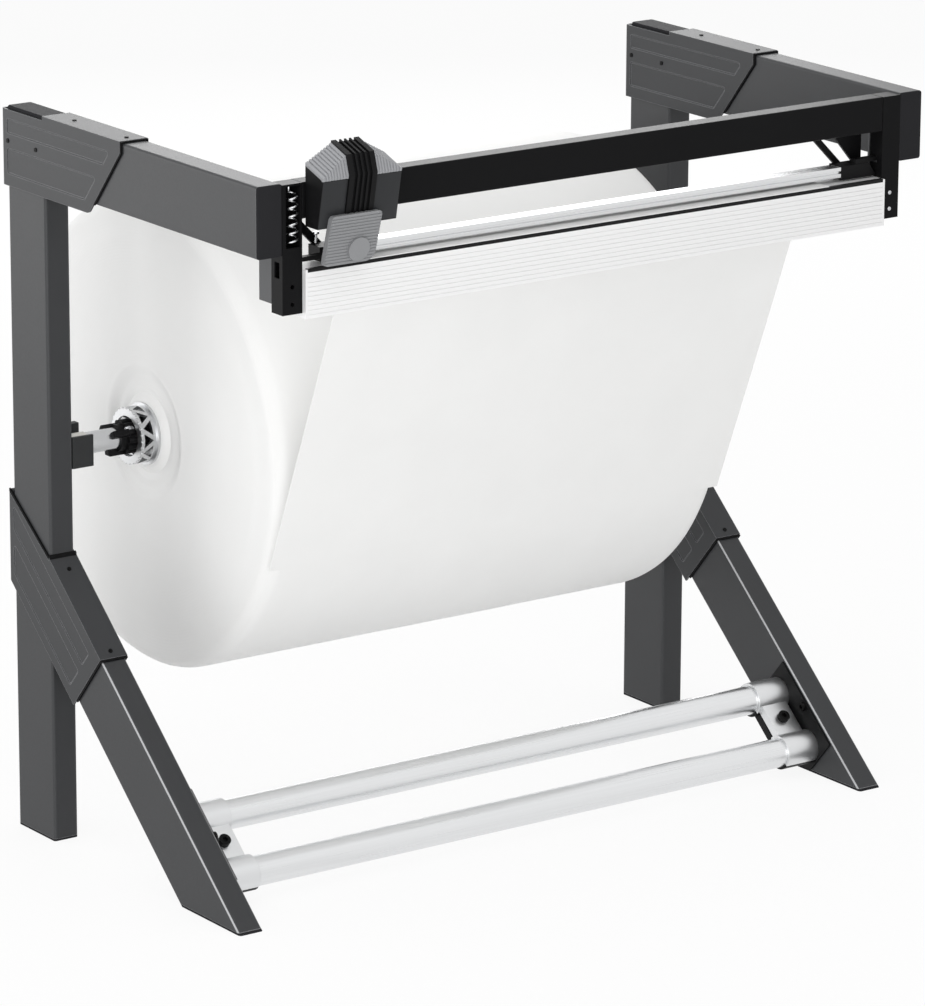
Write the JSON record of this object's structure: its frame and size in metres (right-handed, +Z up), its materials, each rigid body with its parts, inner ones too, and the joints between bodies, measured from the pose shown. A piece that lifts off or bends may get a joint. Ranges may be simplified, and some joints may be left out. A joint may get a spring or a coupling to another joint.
{
  "type": "roll cutting stand",
  "caption": "Floor stand that carries a wide film roll on a lift-out shaft and cuts sheets with a knife carriage sliding on a pressed-down rail.",
  "frame": {"origin": "centre of the bounding box at floor level", "axes": "+X along the roll to the right as seen from the front, -Y to the front where the knife is, +Z up"},
  "size_m": [1.1584, 0.9646, 1.1256],
  "materials": {
    "frame_paint": "fine textured powder coat",
    "cover_plastic": "matt moulded plastic",
    "cap_plastic": "matt plastic",
    "seal_rubber": "matt rubber",
    "black_steel": "black oxide",
    "black_paint": "satin black paint",
    "black_plastic": "matt plastic",
    "cradle_steel": "dark powder coat",
    "hanger_steel": "grey powder coat",
    "clamp_metal": "satin die casting",
    "tube_aluminium": "satin anodised",
    "rail_aluminium": "satin anodised",
    "plate_aluminium": "fine matt anodised",
    "blade_dark": "dark hardened steel",
    "blade_steel": "ground steel",
    "spring_steel": "bright steel",
    "shaft_steel": "bright steel",
    "chuck_metal": "satin die casting",
    "bush_plastic": "natural plastic",
    "carriage_plastic": "matt dark grey plastic",
    "grip_plastic": "ribbed grey plastic",
    "housing_plastic": "ribbed grey plastic",
    "film": "matt white foam film",
    "core_board": "grey board"
  },
  "bodies": {
    "frame": {"left_post": "frame_paint", "left_arm": "frame_paint", "left_leg": "frame_paint", "left_upper_cover": "cover_plastic", "left_lower_cover": "cover_plastic", "left_clamp_front": "clamp_metal", "left_clamp_back": "black_plastic", "left_cradle": "cradle_steel", "left_bracket": "black_paint", "left_hanger_plate": "hanger_steel", "left_spring": "spring_steel", "right_post": "frame_paint", "right_arm": "frame_paint", "right_leg": "frame_paint", "right_upper_cover": "cover_plastic", "right_lower_cover": "cover_plastic", "right_clamp_front": "clamp_metal", "right_clamp_back": "black_plastic", "right_cradle": "cradle_steel", "right_bracket": "black_paint", "right_hanger_plate": "hanger_steel", "right_spring": "spring_steel", "post_caps": "cap_plastic", "arm_caps": "cap_plastic", "foot_plugs": "cap_plastic", "cover_seals": "seal_rubber", "cover_screws": "black_steel", "front_tube": "tube_aluminium", "rear_tube": "tube_aluminium", "clamp_plates": "black_plastic", "frame_bolts": "black_steel", "beam": "black_paint", "cut_plate": "plate_aluminium", "plate_end_caps": "plate_aluminium", "counter_blade": "blade_dark", "pivot_plates": "black_paint", "web": "film"},
    "left_link": {"left_link": "black_paint"},
    "right_inner_link": {"right_inner_link": "black_paint"},
    "right_outer_link": {"right_outer_link": "black_paint"},
    "rail": {"rail": "rail_aluminium", "clamp_strip": "seal_rubber", "left_rail_block": "black_plastic", "right_rail_block": "black_plastic"},
    "carriage": {"carriage_body": "carriage_plastic", "carriage_grips": "grip_plastic", "carriage_band": "black_plastic", "blade_housing": "housing_plastic", "blade_axle": "spring_steel"},
    "blade": {"blade": "blade_steel"},
    "bearings": {"left_bearing": "bush_plastic", "right_bearing": "bush_plastic"},
    "roll": {"roll": "film", "roll_core": "core_board", "roll_shaft": "shaft_steel", "left_core_chuck": "chuck_metal", "right_core_chuck": "chuck_metal"},
    "left_knob": {"left_chuck_knob": "black_plastic"},
    "right_knob": {"right_chuck_knob": "black_plastic"}
  },
  "joints": [
    {"name": "rail_press", "type": "hinge", "parent": "frame", "child": "left_link", "pos_m": [-0.512, -0.39265, 1.036], "axis": [0, 1, 0], "range_deg": [0, 2.21], "stiffness_Nm_per_rad": 15, "springref_deg": -11.46, "deforming": ["left_spring", "right_spring"]},
    {"name": "rail_level", "type": "hinge", "parent": "left_link", "child": "rail", "pos_m": [-0.446, -0.39265, 0.97], "axis": [0, 1, 0], "range_deg": [-2.21, 0]},
    {"name": "right_inner_swing", "type": "hinge", "parent": "frame", "child": "right_inner_link", "pos_m": [0.3925, -0.39265, 1.036], "axis": [0, 1, 0], "range_deg": [0, 2.21]},
    {"name": "right_outer_swing", "type": "hinge", "parent": "frame", "child": "right_outer_link", "pos_m": [0.423, -0.39265, 1.036], "axis": [0, 1, 0], "range_deg": [0, 2.21]},
    {"name": "carriage_slide", "type": "slide", "parent": "rail", "child": "carriage", "axis": [1, 0, 0], "range_m": [0, 0.836]},
    {"name": "blade_spin", "type": "hinge", "parent": "carriage", "child": "blade", "pos_m": [-0.435, -0.44435, 0.9795], "axis": [0, 1, 0], "continuous": true},
    {"name": "roll_lift", "type": "slide", "parent": "frame", "child": "bearings", "axis": [0, 0, 1], "range_m": [0, 0.07]},
    {"name": "roll_spin", "type": "hinge", "parent": "bearings", "child": "roll", "pos_m": [0, 0.13225, 0.585], "axis": [1, 0, 0], "continuous": true},
    {"name": "left_knob_turn", "type": "hinge", "parent": "roll", "child": "left_knob", "pos_m": [-0.43, 0.13225, 0.585], "axis": [1, 0, 0], "range_deg": [0, 180]},
    {"name": "right_knob_turn", "type": "hinge", "parent": "roll", "child": "right_knob", "pos_m": [0.43, 0.13225, 0.585], "axis": [1, 0, 0], "range_deg": [0, 180]}
  ],
  "couplings": [
    {"joint": "rail_level", "follows": "rail_press", "ratio": -1},
    {"joint": "right_inner_swing", "follows": "rail_press", "ratio": 1},
    {"joint": "right_outer_swing", "follows": "rail_press", "ratio": 1}
  ]
}
